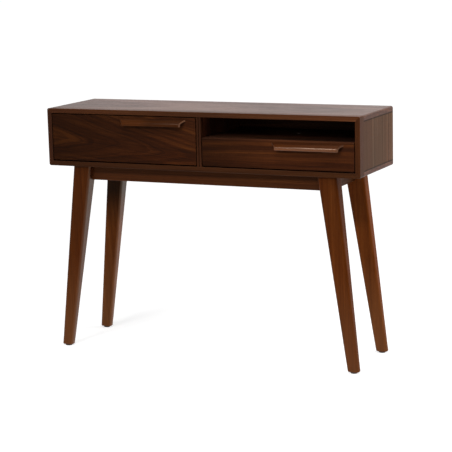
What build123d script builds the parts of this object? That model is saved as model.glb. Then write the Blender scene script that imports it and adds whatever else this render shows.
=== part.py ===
from build123d import *
import os
from math import sqrt

# A console table: a long case with a full-height drawer on the left, and an open
# compartment over a shallow drawer on the right, on four splayed and tapered legs.
# X runs along the table, Y from front to back, Z up. All sizes are in millimetres.
# The pieces are drawn about the middle of the case, and then moved back by half the
# reach of the pulls, so that the origin lies on the floor under the middle of the whole.

# Case
case_width = 1100.0
case_depth = 308.0
case_height = 191.0
panel = 16.0                 # thickness of top, bottom, sides and divider
corner_round = 6.5           # the four long outer corners
edge_depth = 35.0            # solid edging, mitred round the front
arris = 1.0                  # softened front edges
divider_offset = 6.0         # middle of the divider, right of the middle of the case
divider_edge_depth = 20.0
divider_groove_width = 2.6
divider_groove_depth = 4.5
rebate_width = 8.0           # step in the rear edges that takes the back
back_thickness = 6.0
back_clearance = 0.5
shelf_thickness = 12.0
shelf_drop = 1.0             # the compartment floor lies this far under the drawer front's top

# Loose tongues and cap
tongue_thickness = 5.0
tongue_width = 14.0
tongue_stop = 15.0           # ends of the tongue short of the panel's ends
shelf_housing = 5.0          # how far the shelf is let into its walls
joint_clearance = 0.1
cap_diameter = 14.0
cap_thickness = 2.0
cap_recess = 1.0             # how much of the cap is let into the shelf
cap_from_front = 185.0

# Base
leg_height = 620.0           # floor to the underside of the case
leg_top_width = 63.0
leg_top_depth = 50.0
leg_foot_width = 36.5
leg_foot_depth = 24.5
leg_corner_round = 7.75
leg_top_inset_x = 84.5       # end of the case to the side of the leg, at the top
leg_foot_inset_x = 15.5
leg_top_inset_y = 12.4
leg_foot_inset_y = 8.5
glide_diameter = 23.0
glide_thickness = 5.0
glide_nail_width = 3.0
glide_nail_length = 16.0
apron_height = 48.0
apron_thickness = 18.0
apron_front_setback = 23.6   # front of the leg, at its top, to the long apron
apron_side_setback = 25.5    # outer side of the leg, at its top, to the short apron
apron_arris = 1.5
tenon_thickness = 9.0
tenon_length = 18.0          # of the short aprons
tenon_tip_gap = 6.0          # tip of a long apron's tenon to the side of the short one's
tenon_shoulder = 8.0
block_thickness = 22.0
block_height = 40.0
block_clearance = 0.8

# Drawers
front_thickness = 18.0
front_gap = 3.0              # round each drawer front
front_gap_below = 4.0
front_top_round = 4.0        # top edge of the right-hand front, under the open compartment
right_front_height = 90.5
box_wall = 12.0
box_bottom = 5.0
box_groove_depth = 6.0
box_groove_height = 9.0      # lower edge of a box wall to its groove
box_lift = 9.0               # case bottom to the box
left_box_headroom = 25.0     # case top to the left-hand box
right_box_headroom = 8.5     # shelf to the right-hand box
box_room_behind = 22.0
box_housing = 6.0            # how far the box ends are let into the sides

# Drawer pulls
pull_length = 240.0
pull_from_edge = 34.0        # right-hand end of the pull to the edge of its front
pull_below_edge = 6.0
pull_reach = 18.0
pull_height = 24.0
pull_wall = 5.0
pull_root = 7.0              # height of the face that meets the drawer
pull_bend_radius = 14.0
pull_bend_drop = 19.0        # top of the pull to the start of the straight lip
pull_tongue_thickness = 5.0
pull_tongue_depth = 6.0
pull_tongue_drop = 1.7
pull_tongue_inset = 10.0

# Ball-bearing runners
runner_space = 12.7          # case wall to box side
runner_setback = 4.0         # back of the drawer front to the runner
runner_end_inset = 8.0       # end of the runner to the back of the box
runner_hold = 20.0           # part of the runner's length that the drawer doesn't travel
runner_lift = 28.0           # lower edge of the box to the middle of the runner
rail_gauge = 1.2
slide_gauge = 1.0
cage_gauge = 0.6
runner_half_height = 17.5
outer_flange = 10.0          # reach of the case rail from the wall
middle_flange = 6.8          # width of the middle rail and of the outer cage
inner_cage_flange = 5.0
ball_diameter = 2.8          # the balls run between the flanges, in the cages
rail_clearance = 0.3         # between rails and cages, and either side of the ball rows
raceway_lip = 1.0
cage_slack = 25.0            # rails' overlap on the open drawer, less the cage
cage_end_gap = 2.5           # end of the cage to the end of its rail on the open drawer

# Screws: head diameter, head thickness, shank diameter, length
back_screw = (6.5, 1.4, 3.0, 20.0)
rail_case_screw = (5.6, 1.0, 3.0, 12.0)
rail_box_screw = (5.6, 0.9, 3.0, 10.0)
pull_screw = (6.0, 1.6, 3.0, 22.0)
front_screw = (7.5, 2.0, 4.0, 25.0)
block_screw = (8.0, 2.5, 4.0, 28.0)
case_screw = (8.0, 2.5, 4.5, 44.0)
screw_clearance = 0.15       # on the radius
screw_sides = 8              # shanks and heads are drawn eight-sided
back_screw_spacing = 260.0
case_rail_screw_shares = (0.12, 0.5, 0.86)    # places along the runner
box_rail_screw_shares = (0.14, 0.72)
rail_screw_stagger = 12.0    # so that screws from both bays miss each other in the divider
pull_screw_share = 0.36      # outer screws from the middle of the pull
front_screw_shares = (0.3, 0.72)    # up the box front, from its bottom panel
front_screw_inset = 30.0     # box side to the screw
block_screw_bite = 12.5      # reach into the apron
case_screw_bite = 11.0       # reach into the bottom of the case

# Planes that the sizes above fix
case_left = -case_width / 2
case_right = case_width / 2
case_front = -case_depth / 2
case_rear = case_depth / 2
case_base = leg_height
case_crown = leg_height + case_height
bay_floor = case_base + panel
bay_ceiling = case_crown - panel
divider_left = divider_offset - panel / 2
divider_right = divider_offset + panel / 2
back_face = case_rear - back_thickness
front_back = case_front + front_thickness
front_bottom = bay_floor + front_gap_below
left_front_top = bay_ceiling - front_gap
right_front_top = front_bottom + right_front_height
shelf_top = right_front_top - shelf_drop
shelf_bottom = shelf_top - shelf_thickness
shelf_front = front_back + front_gap
box_base = bay_floor + box_lift
left_box_top = bay_ceiling - left_box_headroom
right_box_top = shelf_bottom - right_box_headroom
box_back = back_face - box_room_behind
runner_middle = box_base + runner_lift
runner_front = front_back + runner_setback
runner_length = box_back - runner_end_inset - runner_front
drawer_travel = runner_length - runner_hold
cage_length = runner_length - drawer_travel / 2 - cage_slack
cage_setback = drawer_travel / 4 + cage_end_gap    # keeps each cage between its two rails
apron_bottom = case_base - apron_height
long_apron_face = case_depth / 2 - leg_top_inset_y - apron_front_setback
short_apron_face = case_width / 2 - leg_top_inset_x - apron_side_setback

bays = {
    "left": {"x": (case_left + panel, divider_left), "top": left_front_top, "box_top": left_box_top},
    "right": {"x": (divider_right, case_right - panel), "top": right_front_top, "box_top": right_box_top},
}
corners = {
    "front_left": (-1, -1),
    "front_right": (1, -1),
    "back_left": (-1, 1),
    "back_right": (1, 1),
}


def block(x0, x1, y0, y1, z0, z1):
    return Pos((x0 + x1) / 2, (y0 + y1) / 2, (z0 + z1) / 2) * Box(x1 - x0, y1 - y0, z1 - z0)


def along_y(profile, y0, y1):
    """A profile drawn in X and Z, run from y0 to y1."""
    return extrude(Plane.XZ.offset(-y1) * profile, y1 - y0)


def along_x(profile, x0, x1):
    """A profile drawn in Y and Z, run from x0 to x1."""
    return extrude(Plane.YZ.offset(x0) * profile, x1 - x0)


def upright(profile, z0, z1):
    return extrude(Plane.XY.offset(z0) * profile, z1 - z0)


def outline(points):
    return make_face(Polyline(*points, close=True))


def all_cut(body, tools):
    for tool in tools:
        body -= tool
    return body


def single(shape):
    """The largest solid of a shape."""
    return shape.solids().sort_by(SortBy.VOLUME)[-1]


def grown(limits, gap):
    """A block from its six limits, larger all round by the gap."""
    x0, x1, y0, y1, z0, z1 = limits
    return block(x0 - gap, x1 + gap, y0 - gap, y1 + gap, z0 - gap, z1 + gap)


def prism(plane, diameter, length):
    return extrude(plane * RegularPolygon(diameter / 2, screw_sides), length)


def screw(size, head_at, direction):
    """A screw whose flat head is flush at head_at, driven along the direction."""
    head, head_thickness, shank, length = size
    plane = Plane(origin=head_at, z_dir=direction)
    return prism(plane, head, head_thickness) + prism(plane, shank, length)


def screw_hole(size, head_at, direction):
    """The stepped hole for a screw, open behind its head."""
    head, head_thickness, shank, length = size
    gap = screw_clearance
    plane = Plane(origin=head_at, z_dir=direction)
    pocket = prism(plane.offset(-gap), head + 2 * gap, head_thickness + gap)
    return pocket + prism(plane, shank + 2 * gap, length + gap)


def holes(size, places):
    return [screw_hole(size, head_at, direction) for head_at, direction in places]


def screws(size, places):
    return [screw(size, head_at, direction) for head_at, direction in places]


# --- joinery shared by the case panels -------------------------------------------------


def tongue_limits():
    """Loose tongues where the sides and the divider meet the top and bottom."""
    half = tongue_thickness / 2
    y0 = case_front + edge_depth + tongue_stop
    y1 = back_face - tongue_stop
    side_x = case_width / 2 - panel / 2
    return [
        (x - half, x + half, y0, y1, z - tongue_width / 2, z + tongue_width / 2)
        for x in (-side_x, divider_offset, side_x)
        for z in (bay_floor, bay_ceiling)
    ]


def tongue_grooves():
    return [grown(limits, joint_clearance) for limits in tongue_limits()]


def shelf_limits():
    left, right = bays["right"]["x"]
    return (left - shelf_housing, right + shelf_housing, shelf_front, back_face, shelf_bottom, shelf_top)


def back_screw_places():
    """Screws round the edge of the back: (head, direction)."""
    edge = panel - rebate_width / 2
    span = case_width - 2 * (edge + panel)
    count = round(span / back_screw_spacing)
    points = []
    for i in range(count + 1):
        x = -span / 2 + i * span / count
        points += [(x, case_base + edge), (x, case_crown - edge)]
    level = (case_base + shelf_bottom) / 2
    points += [(case_left + edge, level), (case_right - edge, level)]
    return [((x, case_rear, z), (0, -1, 0)) for x, z in points]


# --- case ------------------------------------------------------------------------------


def case_ring(y0, y1):
    """The case as a hollow box with rounded long corners."""
    outer = RectangleRounded(case_width, case_height, corner_round)
    inner = Rectangle(case_width - 2 * panel, case_height - 2 * panel)
    middle = (case_base + case_crown) / 2
    return along_y(Pos(0, middle) * (outer - inner), y0, y1)


def front_edging():
    """Four lengths of solid edging, mitred at the corners."""
    ring = case_ring(case_front, case_front + edge_depth)
    front_face = ring.faces().sort_by(Axis.Y)[0]
    ring = chamfer(front_face.edges(), arris)
    inner_left = case_left + panel
    inner_right = case_right - panel
    sectors = {
        "edge_top": [(case_left, case_crown), (case_right, case_crown),
                     (inner_right, bay_ceiling), (inner_left, bay_ceiling)],
        "edge_bottom": [(case_left, case_base), (case_right, case_base),
                        (inner_right, bay_floor), (inner_left, bay_floor)],
        "edge_left": [(case_left, case_base), (case_left, case_crown),
                      (inner_left, bay_ceiling), (inner_left, bay_floor)],
        "edge_right": [(case_right, case_base), (case_right, case_crown),
                       (inner_right, bay_ceiling), (inner_right, bay_floor)],
    }
    ring -= grown(shelf_limits(), joint_clearance)
    reach = (case_front - 1, case_front + edge_depth + 1)
    return {name: single(ring & along_y(outline(points), *reach)) for name, points in sectors.items()}


def case_panels():
    """Top and bottom run over the ends of the sides."""
    ring = case_ring(case_front + edge_depth, case_rear)
    step = panel - rebate_width
    ring -= block(case_left + step, case_right - step, back_face, case_rear + 1,
                  case_base + step, case_crown - step)
    ring = all_cut(ring, tongue_grooves() + holes(back_screw, back_screw_places()))
    ring = all_cut(ring, holes(case_screw, case_screw_places()))
    ring -= grown(shelf_limits(), joint_clearance)
    far = case_width
    zones = {
        "case_top": (-far, far, bay_ceiling, case_crown + 1),
        "case_bottom": (-far, far, case_base - 1, bay_floor),
        "case_side_left": (-far, 0, bay_floor, bay_ceiling),
        "case_side_right": (0, far, bay_floor, bay_ceiling),
    }
    parts = {}
    for name, (x0, x1, z0, z1) in zones.items():
        parts[name] = single(ring & block(x0, x1, -far, far, z0, z1))
    for name, wall in (("case_side_left", case_left + panel), ("case_side_right", case_right - panel)):
        parts[name] = single(all_cut(parts[name], rail_holes_in(wall)))
    return parts


def divider():
    front = case_front + divider_edge_depth
    body = block(divider_left, divider_right, front, back_face, bay_floor, bay_ceiling)
    body -= grown(shelf_limits(), joint_clearance)
    tools = tongue_grooves() + rail_holes_in(divider_left) + rail_holes_in(divider_right)
    return single(all_cut(body, tools))


def divider_edge():
    """Solid edging of the divider, with a fine groove down its front."""
    rear = case_front + divider_edge_depth
    body = block(divider_left, divider_right, case_front, rear, bay_floor, bay_ceiling)
    front_face = body.faces().sort_by(Axis.Y)[0]
    body = chamfer(front_face.edges().filter_by(Axis.Z), arris)
    half = divider_groove_width / 2
    groove = block(divider_offset - half, divider_offset + half,
                   case_front - 1, case_front + divider_groove_depth, bay_floor - 1, bay_ceiling + 1)
    return body - groove


def cap_plane():
    left, right = bays["right"]["x"]
    return Plane(origin=((left + right) / 2, case_front + cap_from_front, shelf_top - cap_recess))


def shelf():
    """Floor of the open compartment, housed in the divider and the right-hand side."""
    recess = extrude(cap_plane() * Circle(cap_diameter / 2 + joint_clearance), cap_thickness)
    return block(*shelf_limits()) - recess


def shelf_cap():
    """Flat cover cap in the middle of the compartment floor."""
    return extrude(cap_plane() * Circle(cap_diameter / 2), cap_thickness)


def back_panel():
    inset = panel - rebate_width + back_clearance
    body = block(case_left + inset, case_right - inset, back_face, case_rear,
                 case_base + inset, case_crown - inset)
    return all_cut(body, holes(back_screw, back_screw_places()))


def case_tongues():
    return [block(*limits) for limits in tongue_limits()]


# --- base ------------------------------------------------------------------------------


def leg_centre(corner, at_top):
    sx, sy = corners[corner]
    if at_top:
        x = case_width / 2 - leg_top_inset_x - leg_top_width / 2
        y = case_depth / 2 - leg_top_inset_y - leg_top_depth / 2
    else:
        x = case_width / 2 - leg_foot_inset_x - leg_foot_width / 2
        y = case_depth / 2 - leg_foot_inset_y - leg_foot_depth / 2
    return sx * x, sy * y


def leg_blank(corner):
    """Straight splayed taper, with rounded long edges."""
    top_x, top_y = leg_centre(corner, True)
    foot_x, foot_y = leg_centre(corner, False)
    left = foot_x - leg_foot_width / 2
    back = foot_y + leg_foot_depth / 2
    side_shift = top_x - leg_top_width / 2 - left
    back_shift = back - (top_y + leg_top_depth / 2)
    taper = Wedge(
        leg_foot_width, leg_height - glide_thickness, leg_foot_depth,
        side_shift, back_shift, side_shift + leg_top_width, back_shift + leg_top_depth,
        align=None,
    )
    taper = Pos(left, back, glide_thickness) * Rot(90, 0, 0) * taper
    long_edges = [edge for edge in taper.edges() if edge.bounding_box().size.Z > 1]
    return fillet(long_edges, leg_corner_round)


def tenon_height():
    return apron_bottom + tenon_shoulder, case_base - tenon_shoulder


def long_tenons(sy, gap=0.0):
    """The bar between the tips of a long apron's two tenons."""
    beside = short_apron_face - (apron_thickness + tenon_thickness) / 2
    reach = beside - tenon_tip_gap + gap
    middle = sy * (long_apron_face - apron_thickness / 2)
    z0, z1 = tenon_height()
    half = tenon_thickness / 2 + gap
    return block(-reach, reach, middle - half, middle + half, z0 - gap, z1 + gap)


def short_tenons(sx, gap=0.0):
    reach = abs(leg_centre("front_right", True)[1]) - leg_top_depth / 2 + tenon_length + gap
    middle = sx * (short_apron_face - apron_thickness / 2)
    z0, z1 = tenon_height()
    half = tenon_thickness / 2 + gap
    return block(middle - half, middle + half, -reach, reach, z0 - gap, z1 + gap)


def leg(corner):
    sx, sy = corners[corner]
    body = leg_blank(corner) - long_tenons(sy, joint_clearance) - short_tenons(sx, joint_clearance)
    return single(body - grown(nail_limits(corner), joint_clearance))


def nail_limits(corner):
    x, y = leg_centre(corner, False)
    half = glide_nail_width / 2
    return (x - half, x + half, y - half, y + half, glide_thickness, glide_thickness + glide_nail_length)


def leg_glides():
    glides = []
    for corner in corners:
        disc = extrude(Pos(*leg_centre(corner, False)) * Circle(glide_diameter / 2), glide_thickness)
        glides.append(disc + block(*nail_limits(corner)))
    return glides


def eased_bar(x0, x1, y0, y1, axis):
    """An apron blank with its lower long edges softened."""
    bar = block(x0, x1, y0, y1, apron_bottom, case_base)
    return chamfer(bar.edges().filter_by(axis).group_by(Axis.Z)[0], apron_arris)


def long_apron(sy):
    outer = sy * long_apron_face
    inner = outer - sy * apron_thickness
    reach = abs(leg_centre("front_right", True)[0])
    bar = eased_bar(-reach, reach, min(outer, inner), max(outer, inner), Axis.X)
    for corner, (_, side) in corners.items():
        if side == sy:
            bar -= leg_blank(corner)
    bar = single(bar) + long_tenons(sy)
    return single(all_cut(bar, block_holes()))


def short_apron(sx):
    outer = sx * short_apron_face
    inner = outer - sx * apron_thickness
    reach = abs(leg_centre("front_right", True)[1])
    bar = eased_bar(min(outer, inner), max(outer, inner), -reach, reach, Axis.Y)
    for corner, (side, _) in corners.items():
        if side == sx:
            bar -= leg_blank(corner)
    bar = single(bar) + short_tenons(sx)
    return single(all_cut(bar, block_holes()))


def inside_corner():
    """Where the inner faces of two aprons would meet."""
    return short_apron_face - apron_thickness, long_apron_face - apron_thickness


def block_offset():
    """Distance of the block's outer face from the inside corner, clear of the leg."""
    x, y = inside_corner()
    leg_x, leg_y = leg_centre("back_right", True)
    leg_inner_x = leg_x - leg_top_width / 2
    leg_inner_y = leg_y - leg_top_depth / 2
    return max((x - leg_inner_x) + (y - leg_inner_y), 0) + block_clearance * sqrt(2)


def block_span():
    """Where the block's outer and inner faces meet an apron, from the inside corner."""
    near = block_offset()
    return near, near + block_thickness * sqrt(2)


def block_screw_places():
    """Two screws through each block, one square to each apron: (head, direction)."""
    x, y = inside_corner()
    near, far = block_span()
    middle = (near + far) / 2
    stand = min((far - near) / 2, block_screw[3] - block_screw_bite)
    z = case_base - block_height / 2
    places = []
    for sx, sy in corners.values():
        places.append(((sx * (x - middle), sy * (y - stand), z), (0, sy, 0)))
        places.append(((sx * (x - stand), sy * (y - middle), z), (sx, 0, 0)))
    return places


def access_holes(size, places, length):
    """Driver's way to each head, from behind it."""
    tools = []
    for head_at, (dx, dy, dz) in places:
        plane = Plane(origin=head_at, z_dir=(-dx, -dy, -dz))
        tools.append(prism(plane, size[0] + 2 * screw_clearance, length))
    return tools


def block_holes():
    places = block_screw_places()
    return holes(block_screw, places) + access_holes(block_screw, places, block_thickness)


def case_screw_places():
    """One screw up through each block into the case bottom: (head, direction)."""
    x, y = inside_corner()
    middle = sum(block_span()) / 4
    z = case_base + case_screw_bite - case_screw[3]
    return [((sx * (x - middle), sy * (y - middle), z), (0, 0, 1)) for sx, sy in corners.values()]


def corner_block(corner):
    sx, sy = corners[corner]
    x, y = inside_corner()
    near, far = block_span()
    plan = [(x - near, y), (x - far, y), (x, y - far), (x, y - near)]
    body = upright(outline([(sx * px, sy * py) for px, py in plan]), case_base - block_height, case_base)
    places = case_screw_places()
    tools = block_holes() + holes(case_screw, places) + access_holes(case_screw, places, block_height)
    return single(all_cut(body, tools))


# --- drawers ---------------------------------------------------------------------------


def front_span(side):
    x0, x1 = bays[side]["x"]
    return x0 + front_gap, x1 - front_gap


def box_span(side):
    x0, x1 = bays[side]["x"]
    return x0 + runner_space, x1 - runner_space


def pull_place(side):
    """Right-hand end of the pull, and its top edge."""
    return front_span(side)[1] - pull_from_edge, bays[side]["top"] - pull_below_edge


def pull_tongue(side, gap=0.0):
    end, top = pull_place(side)
    z1 = top - pull_tongue_drop + gap
    z0 = top - pull_tongue_drop - pull_tongue_thickness - gap
    inset = pull_tongue_inset - gap
    rear = case_front + pull_tongue_depth + gap
    return block(end - pull_length + inset, end - inset, case_front, rear, z0, z1)


def pull_screw_places(side):
    end, top = pull_place(side)
    z = top - pull_tongue_drop - pull_tongue_thickness / 2
    middle = end - pull_length / 2
    reach = pull_screw_share * pull_length
    return [((middle + shift, front_back, z), (0, -1, 0)) for shift in (-reach, 0, reach)]


def front_screw_places(side):
    x0, x1 = box_span(side)
    z0 = box_base + box_groove_height + box_bottom
    levels = [z0 + (bays[side]["box_top"] - z0) * share for share in front_screw_shares]
    inset = box_wall + front_screw_inset
    y = front_back + box_wall
    return [((x, y, z), (0, -1, 0)) for x in (x0 + inset, x1 - inset) for z in levels]


def drawer_front(side):
    x0, x1 = front_span(side)
    top = bays[side]["top"]
    body = block(x0, x1, case_front, front_back, front_bottom, top)
    front_edges = body.faces().sort_by(Axis.Y)[0].edges()
    if side == "right":
        crest = front_edges.sort_by(Axis.Z)[-1]
        body = fillet(crest, front_top_round)
        front_edges = body.faces().sort_by(Axis.Y)[0].edges().filter_by_position(
            Axis.Z, front_bottom - 1, top - front_top_round - 0.1)
    body = chamfer(front_edges, arris)
    body -= pull_tongue(side, joint_clearance)
    tools = holes(pull_screw, pull_screw_places(side)) + holes(front_screw, front_screw_places(side))
    return single(all_cut(body, tools))


def pull_curve(radius, end):
    """The bend of the pull's inner or outer face, and the flatter arc from it to the drawer."""
    centre = (pull_bend_radius - pull_reach, -pull_bend_drop)
    bend = CenterArc(centre, radius, 180, -45)
    return bend, TangentArc(bend @ 1, end, tangent=bend % 1)


def pull_profile():
    """Section of the pull: out from the drawer and down to a rounded lip."""
    inner = pull_reach - pull_wall
    lip = pull_height - pull_wall / 2
    outer_bend, outer_arc = pull_curve(pull_bend_radius, (0, 0))
    inner_bend, inner_arc = pull_curve(pull_bend_radius - pull_wall, (0, -pull_root))
    outer_drop = Line((-pull_reach, -lip), (-pull_reach, -pull_bend_drop))
    inner_drop = Line((-inner, -lip), (-inner, -pull_bend_drop))
    lip_tip = (-pull_reach + pull_wall / 2, -pull_height)
    lip_curve = ThreePointArc((-pull_reach, -lip), lip_tip, (-inner, -lip))
    root = Line((0, -pull_root), (0, 0))
    outer = [outer_drop, outer_bend, outer_arc]
    return make_face(outer + [root, inner_arc, inner_bend, inner_drop, lip_curve])


def pull(side):
    """Curved wooden pull whose ends are cut back at 45 degrees in plan."""
    end, top = pull_place(side)
    start = end - pull_length
    body = along_x(Pos(case_front, top) * pull_profile(), start, end)
    reach = pull_reach
    tip = case_front - reach
    plan = [(start, case_front), (end, case_front), (end - reach, tip), (start + reach, tip)]
    body &= upright(outline(plan), top - pull_height - 1, top + 1)
    body = single(body) + pull_tongue(side)
    return single(all_cut(body, holes(pull_screw, pull_screw_places(side))))


def box_groove(side):
    """The space that the drawer bottom fills, reaching into all four walls."""
    x0, x1 = box_span(side)
    bite = box_wall - box_groove_depth
    z0 = box_base + box_groove_height
    return (x0 + bite, x1 - bite, front_back + bite, box_back - bite, z0, z0 + box_bottom)


def end_limits(side, at_front):
    """Box front or back, let into the sides at both ends."""
    x0, x1 = box_span(side)
    bite = box_wall - box_housing
    y0 = front_back if at_front else box_back - box_wall
    return x0 + bite, x1 - bite, y0, y0 + box_wall, box_base, bays[side]["box_top"]


def box_side(side, at_left):
    x0, x1 = box_span(side)
    start = x0 if at_left else x1 - box_wall
    body = block(start, start + box_wall, front_back, box_back, box_base, bays[side]["box_top"])
    body -= grown(box_groove(side), joint_clearance)
    for at_front in (True, False):
        body -= grown(end_limits(side, at_front), joint_clearance)
    body = all_cut(body, holes(rail_box_screw, box_screw_places(side)))
    crest = body.edges().filter_by(Axis.Y).group_by(Axis.Z)[-1]
    return single(fillet(crest, arris))


def box_end(side, at_front):
    body = block(*end_limits(side, at_front)) - grown(box_groove(side), joint_clearance)
    if at_front:
        body = all_cut(body, holes(front_screw, front_screw_places(side)))
    return single(body)


def drawer_bottom(side):
    return block(*box_groove(side))


# --- ball-bearing runners --------------------------------------------------------------


def row_levels():
    """Heights of flanges and ball rows above the middle of a runner, from the outside in."""
    step = rail_clearance + ball_diameter / 2
    outer_ball = runner_half_height - rail_gauge - step
    middle_flange_top = outer_ball - step
    inner_ball = middle_flange_top - slide_gauge - step
    return outer_ball, middle_flange_top, inner_ball, inner_ball - step


def web_places():
    """Distances of the nested webs from the case wall, and of the drawer rail's flange tips."""
    outer_cage = rail_gauge + rail_clearance
    middle_rail = outer_cage + cage_gauge + rail_clearance
    inner_cage = middle_rail + slide_gauge + rail_clearance
    return outer_cage, middle_rail, inner_cage, inner_cage + cage_gauge + rail_clearance


def channel(web, flange_end, half_height, gauge):
    """C-section with its web at one side and a flange above and below, as rolled strip."""
    near, far = sorted((web, flange_end))
    skin = Pos((near + far) / 2, 0) * Rectangle(far - near, 2 * half_height)
    shift = gauge if web < flange_end else -gauge
    hollow = Pos((near + far) / 2 + shift, 0) * Rectangle(far - near, 2 * (half_height - gauge))
    return skin - hollow


def case_rail_section():
    body = channel(0, outer_flange, runner_half_height, rail_gauge)
    for way in (-1, 1):
        level = way * (runner_half_height - rail_gauge - raceway_lip / 2)
        body += Pos(outer_flange - rail_gauge / 2, level) * Rectangle(rail_gauge, raceway_lip)
    return body


def middle_rail_section():
    web = web_places()[1]
    return channel(web, web + middle_flange, row_levels()[1], slide_gauge)


def drawer_rail_section():
    return channel(runner_space, web_places()[3], row_levels()[3], slide_gauge)


def outer_cage_section():
    web = web_places()[0]
    return channel(web, web + middle_flange, row_levels()[0] + cage_gauge / 2, cage_gauge)


def inner_cage_section():
    web = web_places()[2]
    return channel(web, web + inner_cage_flange, row_levels()[2] + cage_gauge / 2, cage_gauge)


def runner_pair(side, section, y0, y1):
    """The same section on both walls of a bay, handed to face the drawer."""
    x0, x1 = bays[side]["x"]
    near = along_y(Pos(x0, runner_middle) * section, y0, y1)
    return [near, mirrored(side, near)]


def mirrored(side, shape):
    x0, x1 = bays[side]["x"]
    return mirror(shape, Plane.YZ.offset((x0 + x1) / 2))


def case_screw_heads(side):
    """Runner to case wall: (head, direction)."""
    x0, x1 = bays[side]["x"]
    stagger = rail_screw_stagger if side == "right" else 0
    places = []
    for share in case_rail_screw_shares:
        y = runner_front + share * runner_length + stagger
        places.append(((x0 + rail_gauge, y, runner_middle), (-1, 0, 0)))
        places.append(((x1 - rail_gauge, y, runner_middle), (1, 0, 0)))
    return places


def box_screw_places(side):
    """Drawer rail to box side: (head, direction)."""
    x0, x1 = box_span(side)
    places = []
    for share in box_rail_screw_shares:
        y = runner_front + share * runner_length
        places.append(((x0 - slide_gauge, y, runner_middle), (1, 0, 0)))
        places.append(((x1 + slide_gauge, y, runner_middle), (-1, 0, 0)))
    return places


def rail_holes_in(wall):
    """Holes for the case rails' screws in the wall whose face is at the given x."""
    places = [
        (head_at, way) for side in bays for head_at, way in case_screw_heads(side)
        if abs(head_at[0] - wall) < 2 * rail_gauge
    ]
    return holes(rail_case_screw, places)


def case_rails():
    rails = []
    for side in bays:
        pair = runner_pair(side, case_rail_section(), runner_front, runner_front + runner_length)
        rails += [all_cut(rail, holes(rail_case_screw, case_screw_heads(side))) for rail in pair]
    return rails


def middle_rails(side):
    return runner_pair(side, middle_rail_section(), runner_front, runner_front + runner_length)


def drawer_rails(side):
    pair = runner_pair(side, drawer_rail_section(), runner_front, runner_front + runner_length)
    return [all_cut(rail, holes(rail_box_screw, box_screw_places(side))) for rail in pair]


def outer_cages(side):
    end = runner_front + runner_length - cage_setback
    return runner_pair(side, outer_cage_section(), end - cage_length, end)


def inner_cages(side):
    start = runner_front + cage_setback
    return runner_pair(side, inner_cage_section(), start, start + cage_length)


# --- the whole table -------------------------------------------------------------------


def table():
    parts = {}
    parts.update(front_edging())
    parts.update(case_panels())
    parts["divider"] = divider()
    parts["divider_edge"] = divider_edge()
    parts["shelf"] = shelf()
    parts["shelf_cap"] = shelf_cap()
    parts["back_panel"] = back_panel()
    parts["back_panel_screws"] = screws(back_screw, back_screw_places())
    parts["case_tongues"] = case_tongues()
    for corner in corners:
        parts["leg_" + corner] = leg(corner)
        parts["corner_block_" + corner] = corner_block(corner)
    parts["apron_front"] = long_apron(-1)
    parts["apron_back"] = long_apron(1)
    parts["apron_left"] = short_apron(-1)
    parts["apron_right"] = short_apron(1)
    parts["corner_block_screws"] = screws(block_screw, block_screw_places())
    parts["case_fixing_screws"] = screws(case_screw, case_screw_places())
    parts["leg_glides"] = leg_glides()
    parts["runner_case_rails"] = case_rails()
    parts["runner_case_screws"] = [
        fixing for side in bays for fixing in screws(rail_case_screw, case_screw_heads(side))
    ]
    for side in bays:
        name = side + "_drawer_"
        parts[name + "front"] = drawer_front(side)
        parts[name + "pull"] = pull(side)
        parts[name + "pull_screws"] = screws(pull_screw, pull_screw_places(side))
        parts[name + "side_left"] = box_side(side, True)
        parts[name + "side_right"] = box_side(side, False)
        parts[name + "box_front"] = box_end(side, True)
        parts[name + "box_back"] = box_end(side, False)
        parts[name + "bottom"] = drawer_bottom(side)
        parts[name + "front_screws"] = screws(front_screw, front_screw_places(side))
        parts[name + "rails"] = drawer_rails(side)
        parts[name + "rail_screws"] = screws(rail_box_screw, box_screw_places(side))
        parts[side + "_runner_middle_rails"] = middle_rails(side)
        parts[side + "_runner_outer_cages"] = outer_cages(side)
        parts[side + "_runner_inner_cages"] = inner_cages(side)
    return parts


os.makedirs("parts", exist_ok=True)
for node, shape in table().items():
    pieces = shape if isinstance(shape, list) else [shape]
    solids = [Pos(0, pull_reach / 2, 0) * solid for piece in pieces for solid in piece.solids()]
    whole = solids[0] if len(solids) == 1 else Compound(solids)
    export_step(whole, "parts/" + node + ".step")
    print(node, round(whole.volume))
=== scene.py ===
import bpy
import bmesh
import math
from mathutils import Matrix, Vector


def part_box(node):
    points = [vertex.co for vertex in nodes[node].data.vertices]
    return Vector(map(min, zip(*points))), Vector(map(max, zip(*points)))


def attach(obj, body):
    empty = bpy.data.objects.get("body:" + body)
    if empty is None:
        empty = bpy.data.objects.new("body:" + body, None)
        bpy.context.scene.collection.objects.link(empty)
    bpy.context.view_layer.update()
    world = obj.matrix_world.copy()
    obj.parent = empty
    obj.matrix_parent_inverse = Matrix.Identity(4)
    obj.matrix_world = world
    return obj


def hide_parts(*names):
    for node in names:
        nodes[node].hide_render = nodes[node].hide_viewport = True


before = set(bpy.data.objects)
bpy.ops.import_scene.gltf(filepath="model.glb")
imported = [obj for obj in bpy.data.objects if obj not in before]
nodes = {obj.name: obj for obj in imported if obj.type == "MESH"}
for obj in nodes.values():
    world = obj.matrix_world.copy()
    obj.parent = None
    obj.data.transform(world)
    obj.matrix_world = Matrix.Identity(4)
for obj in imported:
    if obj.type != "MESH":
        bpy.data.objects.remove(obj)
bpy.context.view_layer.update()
print("frame loaded:", len(nodes), "nodes")


# node helpers

mixSockets = {"VECTOR": (4, 5, 1), "RGBA": (6, 7, 2)}  # first and second input, and output


def feed(tree, value, socket):
    if isinstance(value, bpy.types.NodeSocket):
        tree.links.new(value, socket)
    else:
        socket.default_value = value


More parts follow.
